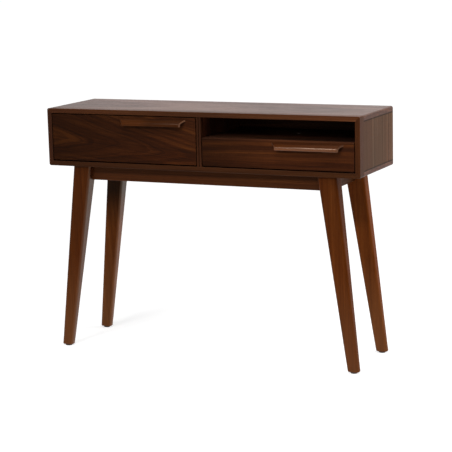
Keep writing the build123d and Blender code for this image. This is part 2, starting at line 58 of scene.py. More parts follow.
def addNode(tree, kind, inputs=None, **settings):
    node = tree.nodes.new(kind)
    for name, value in settings.items():
        setattr(node, name, value)
    for name, value in (inputs or {}).items():
        feed(tree, value, node.inputs[name])
    return node


def calc(tree, operation, *values):
    return addNode(tree, "ShaderNodeMath", dict(enumerate(values)), operation=operation).outputs[0]


def vectorCalc(tree, operation, *values, result="Vector"):
    node = addNode(tree, "ShaderNodeVectorMath", dict(enumerate(values)), operation=operation)
    return node.outputs[result]


def split(tree, vector):
    return addNode(tree, "ShaderNodeSeparateXYZ", {0: vector}).outputs


def joined(tree, x, y, z):
    return addNode(tree, "ShaderNodeCombineXYZ", {"X": x, "Y": y, "Z": z}).outputs[0]


def clamped(tree, value):
    return addNode(tree, "ShaderNodeClamp", {"Value": value}).outputs[0]


def rescaled(tree, value, start, end, first=0.0, last=1.0):
    return addNode(tree, "ShaderNodeMapRange", {
        "Value": value, "From Min": start, "From Max": end, "To Min": first, "To Max": last}).outputs[0]


def mixed(tree, kind, factor, first, second, blend="MIX"):
    start, end, result = mixSockets[kind]
    node = addNode(tree, "ShaderNodeMix", data_type=kind, blend_type=blend)
    feed(tree, factor, node.inputs[0])
    feed(tree, first, node.inputs[start])
    feed(tree, second, node.inputs[end])
    return node.outputs[result]


def noise(tree, vector, scale, detail, rough=0.5):
    return addNode(tree, "ShaderNodeTexNoise", {
        "Vector": vector, "Scale": scale, "Detail": detail, "Roughness": rough}).outputs["Fac"]


def addObject(name, data):
    item = bpy.data.objects.new(name, data)
    bpy.context.scene.collection.objects.link(item)
    return item


# camera and stage

view = {
    "place": (2.1910, -4.6269, 1.3634),
    "target": (0.02262, 0.0090, 0.41794),
    "rollDegrees": -1.40,
    "lens": 125.77,
    "sensor": 36.0,
    "reach": 300.0,
}

studio = {
    "floorHalf": 60.0,
    "floorDrop": 0.0003,
    "floorColour": (0.60, 0.60, 0.60),
    "floorGlow": (0.64, 0.95),  # seen by the camera: near the table, and far off
    "glowReach": (1.4, 4.5),
    "roomLight": 0.12,
    "lamps": [  # name, place, aim, size, power
        ("keyRight", (2.8, 1.5, 1.6), (0.3, 0.0, 0.5), (3.0, 3.0), 90.0),
        ("topSoft", (0.7, -0.9, 3.1), (0.2, 0.0, 0.7), (3.0, 2.0), 78.0),
        ("fillFront", (-0.65, -3.3, 2.65), (0.0, 0.0, 0.7), (1.2, 0.4), 72.0),
        ("stripRight", (2.6, -2.8, 1.2), (0.0, 0.0, 0.5), (0.3, 1.6), 9.0),
        ("stripLeft", (-2.0, -3.5, 1.95), (-0.2, 0.0, 0.75), (0.14, 0.4), 6.0),
    ],
}


def makeCamera():
    place = Vector(view["place"])
    forward = (Vector(view["target"]) - place).normalized()
    right = forward.cross(Vector((0, 0, 1))).normalized()
    up = right.cross(forward)
    roll = math.radians(view["rollDegrees"])
    rolledRight = right * math.cos(roll) + up * math.sin(roll)
    rolledUp = up * math.cos(roll) - right * math.sin(roll)
    turn = Matrix((rolledRight, rolledUp, -forward)).transposed()
    data = bpy.data.cameras.new("mainCamera")
    data.lens = view["lens"]
    data.sensor_width = view["sensor"]
    data.clip_end = view["reach"]
    camera = addObject("mainCamera", data)
    camera.matrix_world = Matrix.Translation(place) @ turn.to_4x4()
    bpy.context.scene.camera = camera


def seenDirectly(tree):
    path = tree.nodes.new("ShaderNodeLightPath")
    seen = calc(tree, "MAXIMUM", path.outputs["Is Camera Ray"], path.outputs["Is Glossy Ray"])
    return calc(tree, "MAXIMUM", seen, path.outputs["Is Transmission Ray"])


def makeFloor():
    half = studio["floorHalf"]
    mesh = bpy.data.meshes.new("floor")
    drop = studio["floorDrop"]
    corners = [(-half, -half, -drop), (half, -half, -drop), (half, half, -drop), (-half, half, -drop)]
    mesh.from_pydata(corners, [], [(0, 1, 2, 3)])
    material = bpy.data.materials.new("paleFloor")
    material.use_nodes = True
    tree = material.node_tree
    tree.nodes.clear()
    matt = addNode(tree, "ShaderNodeBsdfDiffuse", {"Color": (*studio["floorColour"], 1.0)})
    place = tree.nodes.new("ShaderNodeTexCoord").outputs["Object"]
    away = vectorCalc(tree, "LENGTH", place, result="Value")
    level = rescaled(tree, away, *studio["glowReach"], *studio["floorGlow"])
    shown = calc(tree, "MULTIPLY", seenDirectly(tree), level)
    glow = addNode(tree, "ShaderNodeEmission", {"Strength": shown})
    both = addNode(tree, "ShaderNodeAddShader", {0: matt.outputs[0], 1: glow.outputs[0]})
    addNode(tree, "ShaderNodeOutputMaterial", {"Surface": both.outputs[0]})
    mesh.materials.append(material)
    addObject("floor", mesh)


def makeRoom():
    world = bpy.data.worlds.new("studio")
    world.use_nodes = True
    tree = world.node_tree
    tree.nodes.clear()
    level = rescaled(tree, seenDirectly(tree), 0.0, 1.0, studio["roomLight"], 1.0)
    sky = addNode(tree, "ShaderNodeBackground", {"Color": (1, 1, 1, 1), "Strength": level})
    addNode(tree, "ShaderNodeOutputWorld", {"Surface": sky.outputs[0]})
    bpy.context.scene.world = world
    bpy.context.scene.view_settings.view_transform = "Standard"


def makeLamps():
    for name, place, aim, size, power in studio["lamps"]:
        data = bpy.data.lights.new(name, "AREA")
        data.shape = "RECTANGLE"
        data.size, data.size_y = size
        data.energy = power
        light = addObject(name, data)
        light.location = place
        light.rotation_euler = (Vector(aim) - Vector(place)).to_track_quat("-Z", "Y").to_euler()


makeCamera()
makeFloor()
makeRoom()
makeLamps()
print("camera and stage ready")


# shared shader groups

grainFields = {  # scale along and across the grain, detail and roughness of each noise
    "warp": (2.2, 6.0, 2.0, 0.5),
    "ripple": (6.0, 40.0, 3.0, 0.5),
    "streak": (2.4, 150.0, 4.0, 0.62),
    "thread": (10.0, 650.0, 2.0, 0.5),
    "patch": (2.2, 9.0, 1.0, 0.5),
    "warmth": (1.7, 14.0, 2.0, 0.5),
    "pores": (55.0, 1500.0, 1.0, 0.5),
}
grainRule = {
    "seedSteps": (3.17, 1.71, 2.39),  # how far a step of the seed moves the noises
    "rippleShare": 0.9,  # of a ring's width
    "yearScale": 0.42,
    "yearDetail": 2.0,
    "yearSway": 3.0,
    "growth": [(0.0, 0.15), (0.45, 0.35), (0.86, 1.0), (1.0, 0.15)],  # darkness through a ring
    "threadShare": 0.5,
    "warmthSwing": 1.6,
    "ringPores": 0.06,
    "poreEdges": (0.12, 0.22),
    "threadHeight": 0.4,
}
wearRule = {"samples": 4, "turnEdges": (0.99, 0.86), "patches": (60.0, 2.0)}
dustAndSheenRule = {"upEdges": (0.7, 1.0), "cloud": (7.0, 5.0, 0.6)}  # scale, detail and roughness


def newGroup(name, sizes, results):
    tree = bpy.data.node_groups.new(name, "ShaderNodeTree")
    tree.interface.new_socket(name="Vector", in_out="INPUT", socket_type="NodeSocketVector")
    for title, value in sizes.items():
        socket = tree.interface.new_socket(name=title, in_out="INPUT", socket_type="NodeSocketFloat")
        socket.default_value = value
    for title in results:
        tree.interface.new_socket(name=title, in_out="OUTPUT", socket_type="NodeSocketFloat")
    return tree, tree.nodes.new("NodeGroupInput").outputs, tree.nodes.new("NodeGroupOutput").inputs


def stretchedNoise(tree, place, alongScale, acrossScale, detail, rough):
    spread = vectorCalc(tree, "MULTIPLY", place, (alongScale, acrossScale, acrossScale))
    return calc(tree, "SUBTRACT", noise(tree, spread, 1.0, detail, rough), 0.5)


def growthCurve(tree, phase):
    ring = addNode(tree, "ShaderNodeFloatCurve", {"Value": phase})
    points = ring.mapping.curves[0].points
    first, *between, last = grainRule["growth"]
    points[0].location = first
    points[1].location = last
    for place in between:
        points.new(*place)
    ring.mapping.update()
    return ring.outputs[0]


def grainGroup():
    tree, given, result = newGroup("woodGrain", {
        "Seed": 0.0, "Pith Depth": 0.05, "Pith Across": 0.0, "Tilt": 0.12, "Taper": 0.0,
        "Ring Width": 0.007, "Warp": 0.02, "Band Strength": 0.5, "Ring Strength": 0.5,
        "Streak Strength": 0.5, "Patch Strength": 0.5}, ["Tone", "Warmth", "Pores", "Height"])
    shift = joined(tree, *[calc(tree, "MULTIPLY", given["Seed"], step) for step in grainRule["seedSteps"]])
    place = vectorCalc(tree, "ADD", given["Vector"], shift)
    fields = {name: stretchedNoise(tree, place, *numbers) for name, numbers in grainFields.items()}
    axes = split(tree, given["Vector"])

    # how far a point is from the pith, which runs along X and slowly comes nearer the face
    across = calc(tree, "SUBTRACT", axes["Z"], given["Pith Across"])
    across = calc(tree, "MULTIPLY_ADD", fields["warp"], given["Warp"], across)
    depth = calc(tree, "MULTIPLY_ADD", axes["X"], given["Tilt"], axes["Y"])
    depth = calc(tree, "SUBTRACT", depth, given["Pith Depth"])
    squares = calc(tree, "ADD", calc(tree, "POWER", across, 2.0), calc(tree, "POWER", depth, 2.0))
    radius = calc(tree, "MULTIPLY_ADD", axes["X"], given["Taper"], calc(tree, "SQRT", squares))
    ripple = calc(tree, "MULTIPLY", given["Ring Width"], grainRule["rippleShare"])
    radius = calc(tree, "MULTIPLY_ADD", fields["ripple"], ripple, radius)
    rings = calc(tree, "DIVIDE", radius, given["Ring Width"])
    years = addNode(tree, "ShaderNodeTexNoise", {
        "W": calc(tree, "ADD", rings, given["Seed"]), "Scale": grainRule["yearScale"],
        "Detail": grainRule["yearDetail"]}, noise_dimensions="1D").outputs["Fac"]
    phase = calc(tree, "FRACT", calc(tree, "MULTIPLY_ADD", years, grainRule["yearSway"], rings))
    ring = growthCurve(tree, phase)

    streaks = calc(tree, "MULTIPLY_ADD", fields["thread"], grainRule["threadShare"], fields["streak"])
    band, line, streak, patch = [calc(tree, "MULTIPLY", part, given[strength]) for part, strength in (
        (calc(tree, "SUBTRACT", years, 0.5), "Band Strength"),
        (calc(tree, "SUBTRACT", ring, 0.5), "Ring Strength"),
        (streaks, "Streak Strength"),
        (fields["patch"], "Patch Strength"))]
    dark = calc(tree, "ADD", calc(tree, "ADD", band, line), calc(tree, "ADD", streak, patch))
    poreField = calc(tree, "MULTIPLY_ADD", ring, grainRule["ringPores"], fields["pores"])
    pores = rescaled(tree, poreField, *grainRule["poreEdges"])
    threads = calc(tree, "MULTIPLY", fields["thread"], grainRule["threadHeight"])
    feed(tree, clamped(tree, calc(tree, "SUBTRACT", 0.5, dark)), result["Tone"])
    feed(tree, calc(tree, "MULTIPLY_ADD", fields["warmth"], grainRule["warmthSwing"], 0.5), result["Warmth"])
    feed(tree, pores, result["Pores"])
    feed(tree, calc(tree, "SUBTRACT", threads, pores), result["Height"])
    return tree


def edgeWearGroup():
    tree, given, result = newGroup("edgeWear", {"Radius": 0.0012, "Amount": 0.5}, ["Mask"])
    soft = addNode(tree, "ShaderNodeBevel", {"Radius": given["Radius"]}, samples=wearRule["samples"])
    flat = tree.nodes.new("ShaderNodeNewGeometry").outputs["Normal"]
    turn = vectorCalc(tree, "DOT_PRODUCT", soft.outputs[0], flat, result="Value")
    edge = rescaled(tree, turn, *wearRule["turnEdges"])
    patches = noise(tree, given["Vector"], *wearRule["patches"])
    mask = calc(tree, "MULTIPLY", calc(tree, "MULTIPLY", edge, patches), given["Amount"])
    feed(tree, mask, result["Mask"])
    return tree


def dustAndSheenGroup():
    tree, given, result = newGroup("restingDustAndSheen", {"Amount": 0.1}, ["Mask"])
    flat = tree.nodes.new("ShaderNodeNewGeometry").outputs["Normal"]
    facing = rescaled(tree, split(tree, flat)["Z"], *dustAndSheenRule["upEdges"])
    cloud = noise(tree, given["Vector"], *dustAndSheenRule["cloud"])
    mask = calc(tree, "MULTIPLY", calc(tree, "MULTIPLY", facing, cloud), given["Amount"])
    feed(tree, mask, result["Mask"])
    return tree


groups = {"grain": grainGroup(), "wear": edgeWearGroup(), "dustAndSheen": dustAndSheenGroup()}


def useGroup(tree, name, inputs):
    node = tree.nodes.new("ShaderNodeGroup")
    node.node_tree = groups[name]
    for title, value in inputs.items():
        feed(tree, value, node.inputs[title])
    return node.outputs


def shadedMaterial(name):
    material = bpy.data.materials.new(name)
    material.use_nodes = True
    tree = material.node_tree
    tree.nodes.clear()
    shader = tree.nodes.new("ShaderNodeBsdfPrincipled")
    addNode(tree, "ShaderNodeOutputMaterial", {"Surface": shader.outputs[0]})
    return material, tree, shader.inputs


def ramp(tree, value, stops, interpolation="LINEAR"):
    node = addNode(tree, "ShaderNodeValToRGB", {"Fac": value})
    node.color_ramp.interpolation = interpolation
    marks = node.color_ramp.elements
    while len(marks) < len(stops):
        marks.new(0.5)
    for i, (place, colour) in enumerate(stops):
        marks[i].position = place
        marks[i].color = (*colour, 1.0)
    return node.outputs["Color"]


surface = {  # plain is steel and plastic
    "dustAndSheenColour": (0.35, 0.32, 0.30),
    "poreColour": (0.25, 0.20, 0.18),
    "footBounceTop": 0.32,  # height at which a leg starts to be painted lighter towards the foot: painted bounce light from the floor
    "toneRough": -0.10,
    "poreRough": 0.12,
    "grainHeight": 0.0002,
    "markDetail": 4.0,
    "markRough": 0.6,
    "markSwing": 0.16,  # of the roughness
    "markHeight": 0.0001,
    "plainWear": {"Radius": 0.0006, "Amount": 0.3},
    "plainWorn": (1.4, 0.02),  # a worn edge's colour: a factor, and what is added
    "plainDust": 0.04,
}


def weatheredAndSheened(tree, coordinates, colour, wear, wornColour, dustAndSheen):
    worn = useGroup(tree, "wear", {"Vector": coordinates, **wear})
    colour = mixed(tree, "RGBA", worn["Mask"], colour, (*wornColour, 1.0))
    # dust settles on faces turned up; on the top the same grey layer is also painted sheen
    dustAndSheenCover = useGroup(tree, "dustAndSheen", {"Vector": coordinates, "Amount": dustAndSheen})
    return mixed(tree, "RGBA", dustAndSheenCover["Mask"], colour, (*surface["dustAndSheenColour"], 1.0))


def raised(tree, sockets, height, strength, distance):
    bump = addNode(tree, "ShaderNodeBump", {"Strength": strength, "Distance": distance, "Height": height})
    feed(tree, bump.outputs[0], sockets["Normal"])


# woods: one look, and what each piece changes in it; axes are along, through and across the grain

veneer = {
    "axes": "XYZ", "turn": (0, 0, 0), "seed": 1.0, "tint": (1.0, 1.0, 1.0),
    "colours": [
        (0.012, 0.0043, 0.0024), (0.022, 0.0066, 0.0025),
        (0.034, 0.0104, 0.0035), (0.060, 0.0192, 0.0052)],
    "warmer": (1.15, 0.97, 0.85), "poreDepth": 0.45, "bump": 0.3, "footBounceLight": 0.0,
    "wear": 0.25, "wornColour": (0.10, 0.045, 0.024), "dustAndSheen": 0.02,
    "rough": 0.36, "gloss": 0.04, "glossTint": (1.0, 0.68, 0.50), "facing": None,
    "paintedLightDrifts": [],  # painted light and shade: axis, start, end, and the colour's share at each
    "seamsAndShadeLines": [],  # dark joint lines and painted shade lines: axis, place, width and share of the colour left
    "grain": {
        "Pith Depth": 0.3, "Tilt": 0.04, "Ring Width": 0.006, "Warp": 0.02, "Band Strength": 1.2,
        "Ring Strength": 0.22, "Streak Strength": 1.1, "Patch Strength": 0.7},
}
solid = {
    **veneer, "gloss": 0.065, "wornColour": (0.14, 0.065, 0.036),
    "colours": [
        (0.022, 0.0075, 0.0030), (0.040, 0.0132, 0.0046),
        (0.058, 0.0196, 0.0062), (0.090, 0.033, 0.011)],
    "grain": {**veneer["grain"], "Pith Depth": 0.2, "Band Strength": 0.7, "Ring Strength": 0.1},
}
stained = {
    # painted light: how much the legs are lit up towards the foot by the floor's bounce, and in which colour
    **solid, "axes": "ZXY", "footBounceLight": 0.26, "footBounceColour": (0.205, 0.098, 0.045),
    "gloss": 0.06, "facing": ("X", [(0.20, 0.06), (0.95, 0.38)]), "glossTint": (1.0, 0.76, 0.55),
    "colours": [
        (0.052, 0.0115, 0.0014), (0.072, 0.0168, 0.0022),
        (0.094, 0.0240, 0.0036), (0.130, 0.037, 0.0075)],
}
stainedRight = {**stained, "facing": ("X", [(0.20, 0.06), (0.75, 0.015)])}
pale = {
    **veneer, "rough": 0.55, "gloss": 0.35, "glossTint": (1.0, 1.0, 1.0),
    "wear": 0.1, "wornColour": (0.6, 0.46, 0.32), "dustAndSheen": 0.05,
    "colours": [(0.36, 0.23, 0.13), (0.47, 0.32, 0.19), (0.55, 0.39, 0.24), (0.62, 0.46, 0.30)],
}
bent = {
    **solid, "gloss": 0.03, "glossTint": (1.0, 0.70, 0.52), "rough": 0.25,
    "colours": [
        (0.028, 0.0074, 0.0014), (0.046, 0.0125, 0.0022),
        (0.064, 0.0184, 0.0032), (0.096, 0.031, 0.008)],
}
woodLooks = {
    "walnutTop": {
        **solid, "axes": "XZY", "seed": 2.0, "gloss": 0.17, "facing": ("Z", [(0.42, 0.06), (0.72, 0.17)]),
        # the grey dust on the top rises towards the right: painted sheen of the top's grazing reflection,
        # over a little real dust
        "glossTint": (1.0, 1.0, 1.0), "tint": (1.2, 1.05, 1.0), "dustAndSheen": ("X", -0.1, 0.5, 0.02, 0.17),
        "grain": {**solid["grain"], "Band Strength": 1.1, "Streak Strength": 1.7}},
    # painted sheen and light: the side's pale grey colours carry its sheen, and it is painted lighter towards
    # the back
    "walnutSide": {
        **solid, "axes": "ZXY", "seed": 3.0, "gloss": 0.015, "glossTint": (1.0, 0.80, 0.62),
        "colours": [
            (0.029, 0.0155, 0.0082), (0.048, 0.0265, 0.0140),
            (0.068, 0.0390, 0.0210), (0.104, 0.064, 0.035)],
        "warmer": (1.18, 0.80, 0.70), "paintedLightDrifts": [("Y", -0.05, 0.16, 1.0, 1.62)],
        "seamsAndShadeLines": [("Z", 0.6380, 0.0040, 0.30), ("Z", 0.7930, 0.0040, 0.30)],
        "grain": {
            **veneer["grain"], "Pith Depth": 0.9, "Pith Across": 1.2, "Tilt": 0.01, "Ring Strength": 0.1,
            "Band Strength": 0.8, "Streak Strength": 0.75}},
    "walnutFrontLeft": {
        **veneer, "seed": 4.4, "turn": (0, math.radians(-6.0), 0),
        # painted shade: the front darkens towards its left end, where less light falls
        "paintedLightDrifts": [("X", -0.53, -0.12, 0.50, 1.08)],
        "grain": {
            **veneer["grain"], "Pith Across": 0.663, "Pith Depth": -0.163, "Tilt": 0.0, "Taper": 0.18,
            "Ring Width": 0.016, "Warp": 0.05, "Band Strength": 1.9, "Ring Strength": 0.35,
            "Patch Strength": 1.1}},
    "walnutFrontRight": {
        # painted light and shade: darker at the left, lighter towards the right, with a painted shade band
        # just below the top edge
        **veneer, "seed": 5.0, "paintedLightDrifts": [("X", 0.0, 0.26, 0.56, 1.34)],
        "seamsAndShadeLines": [("Z", 0.7260, 0.0060, 0.85)],
        "grain": {**veneer["grain"], "Pith Across": 0.5, "Tilt": 0.01, "Band Strength": 1.3}},
    "walnutInside": {**veneer, "axes": "XZY", "seed": 6.0, "gloss": 0.05, "tint": (0.75, 0.85, 1.1)},
    "walnutBack": {**veneer, "seed": 6.5, "gloss": 0.08},
    "walnutDivider": {
        # painted light: the strong pale tint lights up the divider's face inside the open compartment
        **veneer, "axes": "ZXY", "seed": 7.0, "gloss": 0.12, "glossTint": (1.0, 1.0, 1.0),
        "tint": (1.7, 1.8, 2.2)},
    # painted light and shade: the top edging lightens towards the right, the bottom edging darkens towards
    # the left
    "edgingTop": {**solid, "seed": 8.0, "tint": (1.0, 1.03, 1.25), "paintedLightDrifts": [("X", 0.05, 0.50, 0.86, 1.45)]},
    "edgingBottom": {**solid, "seed": 8.5, "paintedLightDrifts": [("X", -0.5, 0.1, 0.58, 0.76)]},
    # painted shade: the left edging's darker tint stands for less light reaching the case's left side
    "edgingLeft": {**solid, "axes": "ZYX", "seed": 9.2, "tint": (0.65, 0.68, 1.0)},
    "edgingRight": {
        **solid, "axes": "ZYX", "seed": 9.0, "gloss": 0.055, "facing": ("X", [(0.3, 0.055), (0.9, 0.025)]),
        "tint": (0.88, 0.88, 0.92)},
    "edgingDivider": {**solid, "axes": "ZYX", "seed": 9.5, "tint": (0.50, 0.48, 0.60)},
    # painted shade: the long aprons darken towards the right
    "apronLong": {**solid, "seed": 10.0, "tint": (1.05, 0.98, 0.90), "paintedLightDrifts": [("X", 0.0, 0.40, 1.0, 0.84)]},
    "apronShort": {**solid, "axes": "YXZ", "seed": 11.0, "gloss": 0.03, "tint": (0.95, 1.0, 1.0)},
    # painted light and shade: the front legs and the back-left leg darken towards the top, painted shade
    # under the case and aprons; the back-right leg is painted lighter, most near the top
    "legFrontLeft": {**stained, "seed": 12.0, "paintedLightDrifts": [("Z", 0.45, 0.08, 0.56, 1.0)]},
    "legFrontRight": {**stainedRight, "seed": 12.3, "paintedLightDrifts": [("Z", 0.60, 0.20, 0.78, 1.0)]},
    "legBackLeft": {
        **stained, "seed": 12.6, "tint": (0.98, 1.16, 1.5), "paintedLightDrifts": [("Z", 0.50, 0.36, 0.19, 1.42)]},
    "legBackRight": {
        **stainedRight, "seed": 12.9, "tint": (1.06, 1.16, 1.4), "paintedLightDrifts": [("Z", 0.60, 0.20, 1.6, 1.30)]},
    "pullWoodLeft": {
        **bent, "seed": 13.0, "facing": ("Z", [(0.42, 0.07), (0.72, 0.03)]),
        # painted light and shade: the left pull is lighter over its left part, a painted highlight, and
        # darker at its top
        "paintedLightDrifts": [("X", -0.20, -0.16, 1.12, 0.72), ("Z", 0.784, 0.768, 0.50, 1.0)]},
    "pullWoodRight": {
        **bent, "seed": 13.4, "facing": ("Z", [(0.24, 0.56), (0.50, 0.04)]),
        # painted light and shade: darker upper part, a lighter lower nose as painted highlight, and a dark
        # underside as painted shade under the lip
        "paintedLightDrifts": [
            ("Z", 0.7225, 0.712, 0.70, 1.0), ("Z", 0.710, 0.7045, 1.0, 1.7),
            ("Z", 0.7010, 0.6990, 1.0, 0.35)]},
    # end grain painted pale and grey: a painted highlight, used on the pulls' right-hand ends only
    "pullEndGrainHighlight": {
        **solid, "seed": 13.5, "gloss": 0.10, "tint": (2.2, 3.1, 5.2),
        "grain": {**veneer["grain"], "Streak Strength": 0.2, "Patch Strength": 0.3}},
    "boxWoodAlong": {**pale, "seed": 14.0},
    "boxWoodDeep": {**pale, "axes": "YXZ", "seed": 15.0},
    "boxWoodFlat": {**pale, "axes": "XZY", "seed": 16.0},
}


def woodMaterial(name, look):
    material, tree, sockets = shadedMaterial(name)
    coordinates = tree.nodes.new("ShaderNodeTexCoord").outputs["Object"]
    axes = split(tree, coordinates)

    # painted light and shade: a colour share that changes along one axis
    def paintedLightAlong(axis, start, end, first, last):
        return rescaled(tree, axes[axis], start, end, first, last)

    laid = joined(tree, *[axes[axis] for axis in look["axes"]])
    placed = addNode(tree, "ShaderNodeMapping", {"Vector": laid, "Rotation": look["turn"]}).outputs[0]
    grain = useGroup(tree, "grain", {"Vector": placed, "Seed": look["seed"], **look["grain"]})
    shades = [[part * tint for part, tint in zip(colour, look["tint"])] for colour in look["colours"]]
    colour = ramp(tree, grain["Tone"], [(i / (len(shades) - 1), shade) for i, shade in enumerate(shades)])
    colour = mixed(tree, "RGBA", grain["Warmth"], colour, (*look["warmer"], 1.0), "MULTIPLY")
    pored = calc(tree, "MULTIPLY", grain["Pores"], look["poreDepth"])
    colour = mixed(tree, "RGBA", pored, colour, (*surface["poreColour"], 1.0), "MULTIPLY")
    # painted light: a leg grows lighter and paler towards the foot, in place of the floor's bounce
    if look["footBounceLight"]:
        low = paintedLightAlong("Z", surface["footBounceTop"], 0.0, 0.0, look["footBounceLight"])
        colour = mixed(tree, "RGBA", low, colour, (*look["footBounceColour"], 1.0))
    # painted light and shade: each piece's colour darkens or lightens along an axis
    for paintedGradient in look["paintedLightDrifts"]:
        colour = vectorCalc(tree, "MULTIPLY", colour, paintedLightAlong(*paintedGradient))
    # dark joint lines, and painted shade lines such as the band just below the right front's top edge
    for axis, place, width, share in look["seamsAndShadeLines"]:
        line = calc(tree, "COMPARE", axes[axis], place, width / 2)
        colour = vectorCalc(tree, "MULTIPLY", colour, calc(tree, "MULTIPLY_ADD", line, share - 1.0, 1.0))
    # the dust amount can rise along an axis; on the top this rise is painted sheen
    dustAndSheen = paintedLightAlong(*look["dustAndSheen"]) if isinstance(look["dustAndSheen"], tuple) else look["dustAndSheen"]
    colour = weatheredAndSheened(tree, coordinates, colour, {"Amount": look["wear"]}, look["wornColour"], dustAndSheen)
    feed(tree, colour, sockets["Base Color"])
    swing = surface["toneRough"]
    rough = calc(tree, "MULTIPLY_ADD", grain["Tone"], swing, look["rough"] - swing / 2)
    rough = calc(tree, "MULTIPLY_ADD", grain["Pores"], surface["poreRough"], rough)
    feed(tree, rough, sockets["Roughness"])
    sockets["Specular IOR Level"].default_value = look["gloss"]
    if look["facing"]:  # how the gloss changes as a face turns towards an axis
        axis, stops = look["facing"]
        turned = split(tree, tree.nodes.new("ShaderNodeNewGeometry").outputs["Normal"])[axis]
        gloss = ramp(tree, turned, [(place, (level, level, level)) for place, level in stops], "EASE")
        feed(tree, gloss, sockets["Specular IOR Level"])
    sockets["Specular Tint"].default_value = (*look["glossTint"], 1.0)
    raised(tree, sockets, grain["Height"], look["bump"], surface["grainHeight"])
    return material


steel = {"metal": 1.0, "gloss": 0.5}
finishes = {
    "zincSteel": {
        **steel, "colour": (0.60, 0.60, 0.62), "dark": (0.40, 0.40, 0.43), "rough": 0.34,
        "stretch": (8.0, 300.0, 300.0), "bump": 0.15},
    "screwSteel": {
        **steel, "colour": (0.66, 0.63, 0.55), "dark": (0.42, 0.39, 0.32), "rough": 0.30,
        "stretch": (220.0, 220.0, 220.0), "bump": 0.2},
    "ballSteel": {
        **steel, "colour": (0.75, 0.75, 0.77), "dark": (0.62, 0.62, 0.65), "rough": 0.14,
        "stretch": (90.0, 90.0, 90.0), "bump": 0.05},
    "cageSteel": {
        **steel, "colour": (0.52, 0.50, 0.46), "dark": (0.40, 0.38, 0.35), "rough": 0.42,
        "stretch": (60.0, 60.0, 60.0), "bump": 0.1},
    "glidePlastic": {
        "colour": (0.060, 0.034, 0.020), "dark": (0.036, 0.020, 0.012), "rough": 0.48, "metal": 0.0,
        "gloss": 0.3, "stretch": (180.0, 180.0, 180.0), "bump": 0.35},
    "capPlastic": {
        "colour": (0.24, 0.21, 0.20), "dark": (0.17, 0.15, 0.14), "rough": 0.40, "metal": 0.0,
        "gloss": 0.4, "stretch": (150.0, 150.0, 150.0), "bump": 0.2},
}


def finishMaterial(name, look):
    material, tree, sockets = shadedMaterial(name)
    coordinates = tree.nodes.new("ShaderNodeTexCoord").outputs["Object"]
    spread = addNode(tree, "ShaderNodeMapping", {"Vector": coordinates, "Scale": look["stretch"]}).outputs[0]
    marks = noise(tree, spread, 1.0, surface["markDetail"], surface["markRough"])
    colour = mixed(tree, "RGBA", marks, (*look["dark"], 1.0), (*look["colour"], 1.0))
    factor, added = surface["plainWorn"]
    lighter = [min(1.0, factor * part + added) for part in look["colour"]]
    colour = weatheredAndSheened(tree, coordinates, colour, surface["plainWear"], lighter, surface["plainDust"])
    feed(tree, colour, sockets["Base Color"])
    swing = surface["markSwing"]
    feed(tree, calc(tree, "MULTIPLY_ADD", marks, swing, look["rough"] - swing / 2), sockets["Roughness"])
    sockets["Metallic"].default_value = look["metal"]
    sockets["Specular IOR Level"].default_value = look["gloss"]
    raised(tree, sockets, marks, look["bump"], surface["markHeight"])
    return material


materials = {name: woodMaterial(name, look) for name, look in woodLooks.items()}
materials.update({name: finishMaterial(name, look) for name, look in finishes.items()})

covers = {
    "walnutTop": ["case_top", "case_bottom"],
    "walnutSide": ["case_side_left", "case_side_right"],
    "walnutFrontLeft": ["left_drawer_front"],
    "walnutFrontRight": ["right_drawer_front"],
    "walnutInside": ["shelf"],
    "walnutBack": ["back_panel"],
    "walnutDivider": ["divider"],
    "edgingTop": ["edge_top"],
    "edgingBottom": ["edge_bottom"],
    "edgingLeft": ["edge_left"],
    "edgingRight": ["edge_right"],
    "edgingDivider": ["divider_edge"],
    "apronLong": ["apron_front", "apron_back"],
    "apronShort": ["apron_left", "apron_right"],
    "legFrontLeft": ["leg_front_left"],
    "legFrontRight": ["leg_front_right"],
    "legBackLeft": ["leg_back_left"],
    "legBackRight": ["leg_back_right"],
    "pullWoodLeft": ["left_drawer_pull"],
    "pullWoodRight": ["right_drawer_pull"],
    "boxWoodDeep": [
        "left_drawer_side_left", "left_drawer_side_right",
        "right_drawer_side_left", "right_drawer_side_right"],
    "boxWoodFlat": ["left_drawer_bottom", "right_drawer_bottom"],
    "capPlastic": ["shelf_cap"],
    "glidePlastic": ["leg_glides"],
}
plainCovers = {"cage": "cageSteel", "rail": "zincSteel", "screw": "zincSteel"}  # by a word in the name


def coverNodes():
    named = {node: material for material, members in covers.items() for node in members}
    for name, node in nodes.items():
        plain = [material for word, material in plainCovers.items() if word in name] + ["boxWoodAlong"]
        node.material_slots[0].material = materials[named.get(name, plain[0])]


coverNodes()
print("materials ready:", len(materials))


# geometry helpers

socketKinds = {float: "NodeSocketFloat", int: "NodeSocketInt", Vector: "NodeSocketVector"}
reading = {
    "weld": 0.00002,  # CAD points nearer than this are one point
    "decimals": 4,  # of the places by which separate solids are put in order
}


def newShapeTree(name, sizes):
    tree = bpy.data.node_groups.new(name, "GeometryNodeTree")
    tree.interface.new_socket(name="Geometry", in_out="INPUT", socket_type="NodeSocketGeometry")
    for title, value in sizes.items():
        socket = tree.interface.new_socket(name=title, in_out="INPUT", socket_type=socketKinds[type(value)])
        socket.default_value = value
    tree.interface.new_socket(name="Material", in_out="INPUT", socket_type="NodeSocketMaterial")
    tree.interface.new_socket(name="Geometry", in_out="OUTPUT", socket_type="NodeSocketGeometry")
    return tree, tree.nodes.new("NodeGroupInput").outputs


def finishTree(tree, given, shape):
    real = addNode(tree, "GeometryNodeRealizeInstances", {"Geometry": shape})
    painted = addNode(tree, "GeometryNodeSetMaterial", {
        "Geometry": real.outputs[0], "Material": given["Material"]})
    addNode(tree, "NodeGroupOutput", {"Geometry": painted.outputs[0]})


